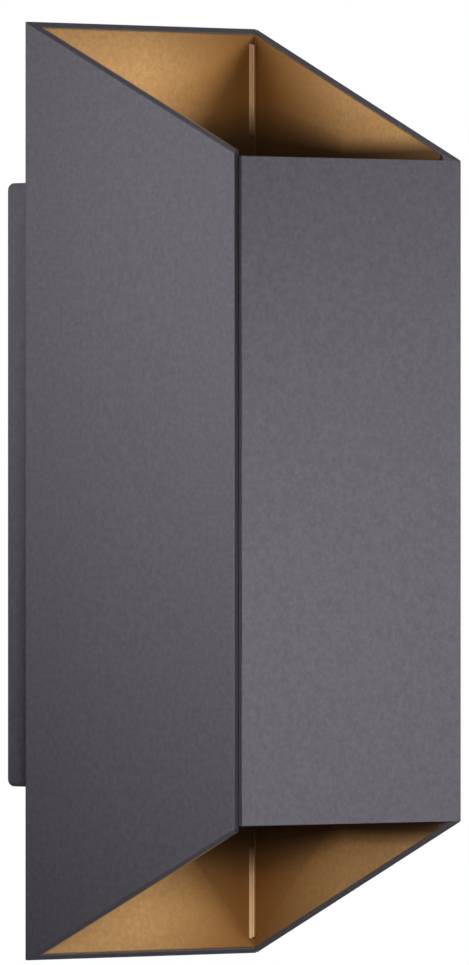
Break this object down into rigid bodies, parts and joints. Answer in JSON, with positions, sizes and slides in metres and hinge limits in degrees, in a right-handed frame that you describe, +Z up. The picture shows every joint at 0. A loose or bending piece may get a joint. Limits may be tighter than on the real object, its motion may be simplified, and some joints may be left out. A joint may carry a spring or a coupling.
{
  "type": "up and down wall light",
  "caption": "Tapered four-sided up and down wall light with slanted open ends, gold-lined light wells, lamps behind glass and a slim base clamped on a slotted wall bracket.",
  "frame": {"origin": "centre of the wall bracket's back face, on the wall", "axes": "+Y points into the wall, +Z is up along the body, +X is to the right seen from the front"},
  "size_m": [0.0784, 0.098, 0.24],
  "materials": {
    "anthracite_coat": "fine-grained matt anthracite powder coat",
    "gold_liner": "gold metallic coat with a fine grain",
    "mill_aluminium": "mill finish",
    "cast_aluminium": "turned casting, matt",
    "black_coat": "matt black coat",
    "zinc_steel": "zinc plated",
    "stainless_steel": "satin stainless steel",
    "grey_silicone": "soft matt",
    "white_board": "white solder mask",
    "led_phosphor": "yellow phosphor, unlit",
    "clear_acrylic": "clear, polished",
    "clear_glass": "clear, polished",
    "black_rubber": "matt",
    "black_sheath": "satin",
    "green_yellow_sheath": "satin",
    "white_plastic": "satin",
    "green_board": "solder mask",
    "dark_components": "satin",
    "bare_brass": "bare",
    "tinned_copper": "tinned"
  },
  "bodies": {
    "wall_bracket": {"wall_bracket": "zinc_steel", "cable_grommet": "black_rubber"},
    "luminaire": {"left_rear_shell": "anthracite_coat", "front_right_shell": "anthracite_coat", "base": "anthracite_coat", "upper_liner": "gold_liner", "lower_liner": "gold_liner", "front_corner_cleat": "mill_aluminium", "rear_corner_cleat": "mill_aluminium", "lamp_carrier": "mill_aluminium", "upper_lamp_cup": "cast_aluminium", "lower_lamp_cup": "cast_aluminium", "upper_bezel": "black_coat", "lower_bezel": "black_coat", "upper_cup_screws": "stainless_steel", "upper_board_screws": "stainless_steel", "upper_bezel_screws": "stainless_steel", "lower_cup_screws": "stainless_steel", "lower_board_screws": "stainless_steel", "lower_bezel_screws": "stainless_steel", "driver_screws": "stainless_steel", "body_screws": "stainless_steel", "terminal_screws": "stainless_steel", "terminal_block_screw": "stainless_steel", "earth_screw": "stainless_steel", "upper_thermal_pad": "grey_silicone", "lower_thermal_pad": "grey_silicone", "upper_led_board": "white_board", "lower_led_board": "white_board", "upper_leds": "led_phosphor", "lower_leds": "led_phosphor", "upper_optic": "clear_acrylic", "lower_optic": "clear_acrylic", "upper_glass": "clear_glass", "lower_glass": "clear_glass", "upper_glass_seal": "black_rubber", "upper_lead_grommet": "black_rubber", "lower_glass_seal": "black_rubber", "lower_lead_grommet": "black_rubber", "base_seal": "black_rubber", "supply_grommet": "black_rubber", "upper_led_lead": "black_sheath", "lower_led_lead": "black_sheath", "supply_wires": "black_sheath", "earth_lead": "green_yellow_sheath", "driver_case": "white_plastic", "driver_cover": "white_plastic", "terminal_block": "white_plastic", "driver_board": "green_board", "driver_components": "dark_components", "terminal_clamps": "bare_brass", "earth_tag": "tinned_copper"},
    "top_screw_washer": {"top_screw_washer": "black_rubber"},
    "top_fixing_screw": {"top_fixing_screw": "stainless_steel"},
    "bottom_screw_washer": {"bottom_screw_washer": "black_rubber"},
    "bottom_fixing_screw": {"bottom_fixing_screw": "stainless_steel"}
  },
  "joints": [
    {"name": "luminaire_pull_off", "type": "slide", "parent": "wall_bracket", "child": "luminaire", "axis": [0, -1, 0], "range_m": [0, 0.06]},
    {"name": "top_washer_lift", "type": "slide", "parent": "luminaire", "child": "top_screw_washer", "axis": [0, 0, 1], "range_m": [0, 0.0028]},
    {"name": "top_screw_turn", "type": "hinge", "parent": "top_screw_washer", "child": "top_fixing_screw", "pos_m": [0, -0.0075, 0.0783], "axis": [0, 0, 1], "range_deg": [0, 1441]},
    {"name": "bottom_washer_lift", "type": "slide", "parent": "luminaire", "child": "bottom_screw_washer", "axis": [0, 0, -1], "range_m": [0, 0.0028]},
    {"name": "bottom_screw_turn", "type": "hinge", "parent": "bottom_screw_washer", "child": "bottom_fixing_screw", "pos_m": [0, -0.0075, -0.0783], "axis": [0, 0, -1], "range_deg": [0, 1441]}
  ],
  "couplings": [
    {"joint": "top_screw_turn", "follows": "top_washer_lift", "rad_per_m": 8976},
    {"joint": "bottom_screw_turn", "follows": "bottom_washer_lift", "rad_per_m": 8976}
  ]
}
